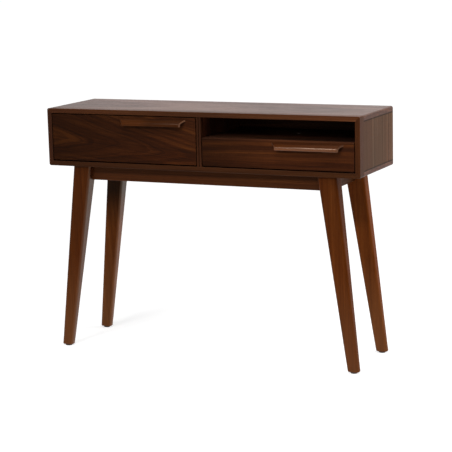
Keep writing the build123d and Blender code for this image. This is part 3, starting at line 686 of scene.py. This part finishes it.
def unitGrid(tree, columns, rows):
    grid = addNode(tree, "GeometryNodeMeshGrid", {
        "Size X": 1.0, "Size Y": 1.0, "Vertices X": columns, "Vertices Y": rows})
    flat = split(tree, tree.nodes.new("GeometryNodeInputPosition").outputs[0])
    return grid.outputs["Mesh"], flat["X"], flat["Y"]


def gridCount(tree, place, count):  # which row or column a grid point is in, and the last one's number
    last = calc(tree, "SUBTRACT", count, 1.0)
    return calc(tree, "ROUND", calc(tree, "MULTIPLY", calc(tree, "ADD", place, 0.5), last)), last


def isNumber(tree, value, number):
    return calc(tree, "COMPARE", value, number, 0.5)


def wrappedGrid(tree, grid, position, weld, softDegrees):
    placed = addNode(tree, "GeometryNodeSetPosition", {"Geometry": grid, "Position": position})
    closed = addNode(tree, "GeometryNodeMergeByDistance", {"Geometry": placed.outputs[0], "Distance": weld})
    turn = tree.nodes.new("GeometryNodeInputMeshEdgeAngle").outputs["Unsigned Angle"]
    limit = math.radians(softDegrees)
    gentle = addNode(tree, "FunctionNodeCompare", {0: turn, 1: limit}, operation="LESS_THAN")
    smooth = addNode(tree, "GeometryNodeSetShadeSmooth", {"Geometry": closed.outputs[0]})
    return addNode(tree, "GeometryNodeSetShadeSmooth", {
        "Geometry": smooth.outputs[0], "Shade Smooth": gentle.outputs[0]}, domain="EDGE").outputs[0]


def growPiece(name, tree, base, values, body, replaced):
    piece = addObject(name, base)
    modifier = piece.modifiers.new("shape", "NODES")
    modifier.node_group = tree
    for item in tree.interface.items_tree:
        if item.in_out == "INPUT" and item.name in values:
            modifier[item.identifier] = values[item.name]
    bpy.context.view_layer.update()
    grown = bpy.data.meshes.new_from_object(piece.evaluated_get(bpy.context.evaluated_depsgraph_get()))
    piece.modifiers.clear()
    grown.materials.clear()  # the tree leaves an empty first slot
    grown.materials.append(values["Material"])
    piece.data = grown
    grown.name = name
    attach(piece, body)
    if replaced:
        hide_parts(*replaced)


def pointMesh(name, points, drives=()):
    mesh = bpy.data.meshes.new(name)
    mesh.from_pydata([tuple(point) for point in points], [], [])
    if drives:
        field = mesh.attributes.new("drive", "FLOAT_VECTOR", "POINT")
        for i, drive in enumerate(drives):
            field.data[i].vector = drive
    return mesh


def islands(name):
    work = bmesh.new()
    work.from_mesh(nodes[name].data)
    bmesh.ops.remove_doubles(work, verts=work.verts, dist=reading["weld"])
    left = set(work.verts)
    found = []
    while left:
        group = [left.pop()]
        for vert in group:
            for edge in vert.link_edges:
                other = edge.other_vert(vert)
                if other in left:
                    left.remove(other)
                    group.append(other)
        found.append([vert.co.copy() for vert in group])
    work.free()

    def middle(points):
        return tuple(round(part, reading["decimals"]) for part in sum(limits(points), Vector()) / 2)

    return sorted(found, key=middle)


def limits(points):
    low = Vector([min(point[i] for point in points) for i in range(3)])
    high = Vector([max(point[i] for point in points) for i in range(3)])
    return low, high


# legs: a tapered bar with rounded long edges, swept from the foot to the case

leg = {
    "footSize": (0.0388, 0.0262),
    "topSize": (0.0637, 0.0506),
    "cornerRound": 0.0098,
    "cornerSteps": 8,
    "cornerHold": 0.0004,  # keeps the flat faces flat beside the rounding
    "rows": 24,
    "endEase": 0.0012,
    "endBand": 0.0005,  # height over which the plain leg's end is read
    "weld": 0.00001,
    "softDegrees": 30.0,
}


def legTree():
    tree, given = newShapeTree("taperedLeg", {
        "Foot": Vector(), "Top": Vector(),
        "Foot Size": Vector((*leg["footSize"], 0.0)), "Top Size": Vector((*leg["topSize"], 0.0)),
        "Corner Radius": leg["cornerRound"], "Corner Steps": leg["cornerSteps"],
        "Corner Hold": leg["cornerHold"], "Rows": leg["rows"], "End Ease": leg["endEase"]})
    perCorner = calc(tree, "ADD", given["Corner Steps"], 3.0)  # a first point, and a hold on either side
    columns = calc(tree, "MULTIPLY_ADD", perCorner, 4.0, 1.0)
    grid, x, y = unitGrid(tree, columns, given["Rows"])
    column = gridCount(tree, x, columns)[0]
    row, last = gridCount(tree, y, given["Rows"])

    # around the leg: each corner is a rounding between two short holds
    corner = calc(tree, "FLOOR", calc(tree, "DIVIDE", calc(tree, "ADD", column, 0.01), perCorner))
    step = calc(tree, "SUBTRACT", column, calc(tree, "MULTIPLY", corner, perCorner))
    part = clamped(tree, calc(tree, "DIVIDE", calc(tree, "SUBTRACT", step, 1.0), given["Corner Steps"]))
    quarter = math.pi / 2
    angle = calc(tree, "MULTIPLY", calc(tree, "ADD", corner, part), quarter)
    middle = calc(tree, "MULTIPLY_ADD", corner, quarter, quarter / 2)
    lastStep = isNumber(tree, step, calc(tree, "SUBTRACT", perCorner, 1.0))
    slide = calc(tree, "SUBTRACT", lastStep, isNumber(tree, step, 0.0))
    slide = calc(tree, "MULTIPLY", slide, given["Corner Hold"])

    # along the leg: a cap, an eased end, the long stretch and the other cap
    share = calc(tree, "DIVIDE", calc(tree, "SUBTRACT", row, 2.0), calc(tree, "SUBTRACT", last, 3.0))
    share = clamped(tree, share)
    eased = calc(tree, "MULTIPLY", calc(tree, "LESS_THAN", row, 1.5), given["End Ease"])
    topCap = calc(tree, "GREATER_THAN", row, calc(tree, "SUBTRACT", last, 0.5))
    capped = calc(tree, "ADD", calc(tree, "LESS_THAN", row, 0.5), topCap)
    bare = calc(tree, "SUBTRACT", 1.0, capped)
    across = split(tree, mixed(tree, "VECTOR", share, given["Foot Size"], given["Top Size"]))
    radius = calc(tree, "SUBTRACT", given["Corner Radius"], eased)

    def reach(name, turn, tangent):
        sign = calc(tree, "SIGN", calc(tree, turn, middle))
        inset = calc(tree, "MULTIPLY", given["Corner Radius"], -1.0)
        flat = calc(tree, "MULTIPLY", calc(tree, "MULTIPLY_ADD", across[name], 0.5, inset), sign)
        bent = calc(tree, "MULTIPLY_ADD", calc(tree, turn, angle), radius, flat)
        return calc(tree, "MULTIPLY", calc(tree, "MULTIPLY_ADD", tangent, slide, bent), bare)

    around = joined(
        tree,
        reach("X", "COSINE", calc(tree, "MULTIPLY", calc(tree, "SINE", angle), -1.0)),
        reach("Y", "SINE", calc(tree, "COSINE", angle)),
        calc(tree, "MULTIPLY", isNumber(tree, row, 2.0), given["End Ease"]))
    centre = mixed(tree, "VECTOR", share, given["Foot"], given["Top"])
    position = vectorCalc(tree, "ADD", centre, around)
    finishTree(tree, given, wrappedGrid(tree, grid, position, leg["weld"], leg["softDegrees"]))
    return tree


def makeLegs():
    tree = legTree()
    for end in ("front", "back"):
        for side in ("left", "right"):
            name = end + "_" + side
            points = [vert.co for vert in nodes["leg_" + name].data.vertices]
            low, high = limits(points)
            foot = sum(limits([point for point in points if point.z < low.z + leg["endBand"]]), Vector()) / 2
            top = sum(limits([point for point in points if point.z > high.z - leg["endBand"]]), Vector()) / 2
            growPiece("leg_form_" + name, tree, pointMesh("legBase_" + name, []), {
                "Foot": foot, "Top": top, "Material": materials["leg" + end.title() + side.title()],
            }, "case", ["leg_" + name])


makeLegs()
print("legs ready")


# turned pieces: glides, their nails and screws

turning = {"weld": 0.000005, "softDegrees": 32.0}


def turnedTree(name, sizes, outline, cutTool=None):
    # each row of the outline gives its radius and its height as sums of shares of the sizes
    tree, given = newShapeTree(name, sizes)
    grid, x, y = unitGrid(tree, calc(tree, "ADD", given["Sides"], 1.0), len(outline))
    row = gridCount(tree, y, len(outline))[0]
    angle = calc(tree, "MULTIPLY", calc(tree, "ADD", x, 0.5), 2 * math.pi)
    measures = [0.0, 0.0]
    for number, sums in enumerate(outline):
        here = isNumber(tree, row, number)
        for i, shares in enumerate(sums):
            for title, share in shares.items():
                part = calc(tree, "MULTIPLY", here, given[title])
                measures[i] = calc(tree, "MULTIPLY_ADD", part, share, measures[i])
    radius, height = measures
    position = joined(
        tree, calc(tree, "MULTIPLY", radius, calc(tree, "COSINE", angle)),
        calc(tree, "MULTIPLY", radius, calc(tree, "SINE", angle)), height)
    shape = wrappedGrid(tree, grid, position, turning["weld"], turning["softDegrees"])
    if cutTool:
        shape = cutTool(tree, given, shape)

    # every point carries a copy, which rises along the point's drive
    drive = addNode(tree, "GeometryNodeInputNamedAttribute", {"Name": "drive"}, data_type="FLOAT_VECTOR")
    turned = addNode(tree, "FunctionNodeAlignRotationToVector", {"Vector": drive.outputs[0]}, axis="Z")
    copies = addNode(tree, "GeometryNodeInstanceOnPoints", {
        "Points": given["Geometry"], "Instance": shape, "Rotation": turned.outputs[0]})
    finishTree(tree, given, copies.outputs[0])
    return tree


# glides: round pads under the feet, with a steel nail set in each

glide = {
    "radius": 0.0115,
    "height": 0.005,
    "ease": 0.0012,
    "wellRadius": 0.0045,
    "wellDepth": 0.0022,
    "sides": 40,
    "nailRadius": 0.0034,
    "nailHeight": 0.0012,
    "nailSides": 24,
}
glideOutline = [  # from the floor of the well, round the sole, to the top
    ({}, {"Well Depth": 1}),
    ({"Well Radius": 1}, {"Well Depth": 1}),
    ({"Well Radius": 1}, {"Ease": 0.3}),
    ({"Well Radius": 1, "Ease": 0.3}, {}),
    ({"Radius": 1, "Ease": -1}, {}),
    ({"Radius": 1}, {"Ease": 1}),
    ({"Radius": 1}, {"Height": 1}),
    ({}, {"Height": 1}),
]
nailOutline = [  # a low dome under the floor of the well
    ({}, {"Well Depth": 1, "Height": -1}),
    ({"Radius": 0.55}, {"Well Depth": 1, "Height": -0.88}),
    ({"Radius": 0.9}, {"Well Depth": 1, "Height": -0.5}),
    ({"Radius": 1}, {"Well Depth": 1}),
    ({}, {"Well Depth": 1}),
]


def makeGlides():
    feet = []
    for points in islands("leg_glides"):
        low, high = limits(points)
        feet.append(Vector(((low.x + high.x) / 2, (low.y + high.y) / 2, low.z)))
    up = [(0, 0, 1)] * len(feet)
    pads = turnedTree("roundGlide", {
        "Radius": glide["radius"], "Height": glide["height"], "Ease": glide["ease"],
        "Well Radius": glide["wellRadius"], "Well Depth": glide["wellDepth"], "Sides": glide["sides"],
    }, glideOutline)
    growPiece(
        "glide_forms", pads, pointMesh("glideFeet", feet, up),
        {"Material": materials["glidePlastic"]}, "case", ["leg_glides"])
    nails = turnedTree("glideNail", {
        "Radius": glide["nailRadius"], "Height": glide["nailHeight"], "Well Depth": glide["wellDepth"],
        "Sides": glide["nailSides"],
    }, nailOutline)
    growPiece(
        "glide_nails", nails, pointMesh("nailPlaces", feet, up),
        {"Material": materials["zincSteel"]}, "case", [])


makeGlides()
print("glides ready")


# screws: turned, with a cross recess, in the places of the plain ones

screw = {
    "roundShare": 0.92,  # keeps the round screw inside the plain one's facets
    "sides": 24,
    "recessShare": 0.62,
    "recessWidth": 0.17,
    "recessDepth": 0.75,
    "endBand": 0.0001,  # depth over which a plain screw's end is read
    "decimals": 5,
}
screwOutline = [  # from the tip to the middle of the head
    ({}, {"Length": 1}),
    ({"Shank Radius": 1}, {"Length": 1, "Shank Radius": -2}),
    ({"Shank Radius": 1}, {"Head Height": 1}),
    ({"Head Radius": 1}, {"Head Height": 0.12}),
    ({"Head Radius": 1}, {"Head Height": 0.03}),
    ({"Head Radius": 0.97}, {}),
    ({}, {}),
]


def cutRecess(tree, given, shape):
    long = calc(tree, "MULTIPLY", given["Head Radius"], 2 * screw["recessShare"])
    narrow = calc(tree, "MULTIPLY", given["Head Radius"], 2 * screw["recessWidth"])
    deep = calc(tree, "MULTIPLY", given["Head Height"], 2 * screw["recessDepth"])
    arms = [addNode(tree, "GeometryNodeMeshCube", {"Size": joined(tree, x, y, deep)}).outputs["Mesh"]
            for x, y in ((long, narrow), (narrow, long))]
    cut = addNode(tree, "GeometryNodeMeshBoolean", {"Mesh 1": shape}, operation="DIFFERENCE", solver="EXACT")
    for arm in arms:
        feed(tree, arm, cut.inputs["Mesh 2"])
    return cut.outputs["Mesh"]


def screwPlaces(name):
    heads, drives, sizes = [], [], {}
    for points in islands(name):
        low, high = limits(points)
        span = high - low
        axis = max(range(3), key=lambda i: span[i])
        ends = [limits([point for point in points if abs(point[axis] - edge[axis]) < screw["endBand"]])
                for edge in (low, high)]
        spread = [max((top - bottom)[i] for i in range(3) if i != axis) for bottom, top in ends]
        atHigh = spread[1] > spread[0]  # the head is the wider end
        head = (low + high) / 2
        head[axis] = high[axis] if atHigh else low[axis]
        drive = Vector()
        drive[axis] = -1.0 if atHigh else 1.0
        heads.append(head)
        drives.append(drive)
        levels = sorted({round(abs(point[axis] - head[axis]), screw["decimals"]) for point in points})
        sizes = {
            "Head Radius": max(spread) / 2 * screw["roundShare"], "Head Height": levels[1],
            "Shank Radius": min(spread) / 2 * screw["roundShare"], "Length": span[axis]}
    return heads, drives, sizes


def makeScrews():
    nominal = {"Head Radius": 0.003, "Head Height": 0.0014, "Shank Radius": 0.0015, "Length": 0.02}
    tree = turnedTree("crossHeadScrew", {**nominal, "Sides": screw["sides"]}, screwOutline, cutRecess)
    for name in sorted(nodes):
        if "screws" not in name:
            continue
        heads, drives, sizes = screwPlaces(name)
        side = name.split("_")[0]
        body = side + "_drawer" if side in ("left", "right") else "case"
        growPiece(
            name + "_form", tree, pointMesh(name + "_places", heads, drives),
            {**sizes, "Material": materials["screwSteel"]}, body, [name])
        print("  ", name, len(heads), "screws on", body)


makeScrews()
print("screws ready")


# balls: rows of steel balls in the cages of the runners

ball = {
    "radius": 0.00142,
    "pitch": 0.0048,
    "endInset": 0.004,
    "levelInset": 0.0003,  # from a cage's top or bottom to the middle of its flange
    "sides": 8,
    "rings": 6,
}


def ballTree():
    tree, given = newShapeTree("ballRow", {
        "Radius": ball["radius"], "Pitch": ball["pitch"], "Count": 1, "Sides": ball["sides"],
        "Rings": ball["rings"]})
    step = joined(tree, 0.0, given["Pitch"], 0.0)
    row = addNode(tree, "GeometryNodeMeshLine", {"Count": given["Count"], "Offset": step})
    rows = addNode(tree, "GeometryNodeInstanceOnPoints", {
        "Points": given["Geometry"], "Instance": row.outputs[0]})
    places = addNode(tree, "GeometryNodeRealizeInstances", {"Geometry": rows.outputs[0]})
    sphere = addNode(tree, "GeometryNodeMeshUVSphere", {
        "Segments": given["Sides"], "Rings": given["Rings"], "Radius": given["Radius"]})
    smooth = addNode(tree, "GeometryNodeSetShadeSmooth", {"Geometry": sphere.outputs["Mesh"]})
    balls = addNode(tree, "GeometryNodeInstanceOnPoints", {
        "Points": places.outputs[0], "Instance": smooth.outputs[0]})
    finishTree(tree, given, balls.outputs[0])
    return tree


def makeBalls():
    tree = ballTree()
    for side in ("left", "right"):
        for layer in ("outer", "inner"):
            starts = []
            for points in islands(side + "_runner_" + layer + "_cages"):
                low, high = limits(points)
                for level in (low.z + ball["levelInset"], high.z - ball["levelInset"]):
                    starts.append(((low.x + high.x) / 2, low.y + ball["endInset"], level))
                count = int((high.y - low.y - 2 * ball["endInset"]) / ball["pitch"]) + 1
            growPiece(
                side + "_" + layer + "_balls", tree, pointMesh(side + layer + "Starts", starts),
                {"Count": count, "Material": materials["ballSteel"]},
                side + "_" + layer + "_cage", [])
            print("  ", side, layer, count, "balls in a row")


makeBalls()
print("balls ready")


# pulls: a bent wall, cut back at both ends, with eased end edges

pull = {
    "reach": 0.018,
    "height": 0.024,
    "wall": 0.005,
    "root": 0.007,
    "bendRadius": 0.014,
    "bendDrop": 0.019,
    "slope": math.pi / 4,  # of the wall where the bend meets the rising curve
    "steps": 14,
    "lipSteps": 10,
    "edgeEase": 0.0006,
    "edgeSegments": 2,
}


def arcPoints(centre, radius, first, last, steps):
    turns = [first + (last - first) * i / steps for i in range(steps + 1)]
    return [(centre[0] + radius * math.cos(turn), centre[1] + radius * math.sin(turn)) for turn in turns]


def tangentArc(start, direction, end, steps):
    chord = Vector(end) - Vector(start)
    normal = Vector((-direction[1], direction[0]))
    radius = chord.length_squared / (2 * chord.dot(normal))
    centre = Vector(start) + normal * radius
    first = math.atan2(start[1] - centre.y, start[0] - centre.x)
    last = math.atan2(end[1] - centre.y, end[0] - centre.x)
    last = first + math.remainder(last - first, 2 * math.pi)  # the short way round
    return arcPoints(centre, abs(radius), first, last, steps)


def pullOutline():
    centre = (pull["bendRadius"] - pull["reach"], -pull["bendDrop"])
    halfWall = pull["wall"] / 2
    slope = (math.cos(pull["slope"]), math.sin(pull["slope"]))
    faces = []
    for radius, drop in ((pull["bendRadius"], 0.0), (pull["bendRadius"] - pull["wall"], pull["root"])):
        bend = arcPoints(centre, radius, math.pi, math.pi - pull["slope"], pull["steps"])
        faces.append(bend + tangentArc(bend[-1], slope, (0.0, -drop), pull["steps"])[1:])
    outer, inner = faces
    lipCentre = (halfWall - pull["reach"], halfWall - pull["height"])
    return outer + inner[::-1] + arcPoints(lipCentre, halfWall, 2 * math.pi, math.pi, pull["lipSteps"])


def makePulls():
    outline = pullOutline()
    count = len(outline)
    for side in ("left", "right"):
        low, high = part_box(side + "_drawer_pull")
        face = low.y + pull["reach"]
        verts = [(low.x - y, face + y, high.z + z) for y, z in outline]
        verts += [(high.x + y, face + y, high.z + z) for y, z in outline]
        faces = [tuple(range(count))[::-1], tuple(range(count, 2 * count))]
        for i in range(count):
            j = (i + 1) % count
            faces.append((i, j, count + j, count + i))
        mesh = bpy.data.meshes.new(side + "_pull_form")
        mesh.from_pydata(verts, [], faces)
        work = bmesh.new()
        work.from_mesh(mesh)
        bmesh.ops.recalc_face_normals(work, faces=work.faces)
        ends = [edge for edge in work.edges if len({vert.index // count for vert in edge.verts}) == 1]
        bmesh.ops.bevel(
            work, geom=ends, offset=pull["edgeEase"], segments=pull["edgeSegments"],
            affect="EDGES", profile=0.5)
        for made in work.faces:
            made.smooth = len(made.verts) <= 4
            # the right-hand end alone gets the pale end-grain look, a painted highlight
            made.material_index = 1 if made.normal.x > 0.5 and not made.smooth else 0  # the right-hand end
        work.to_mesh(mesh)
        work.free()
        mesh.materials.append(materials["pullWood" + side.title()])
        mesh.materials.append(materials["pullEndGrainHighlight"])
        piece = addObject(side + "_pull_form", mesh)
        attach(piece, side + "_drawer")
        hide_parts(side + "_drawer_pull")


makePulls()
print("pulls ready")
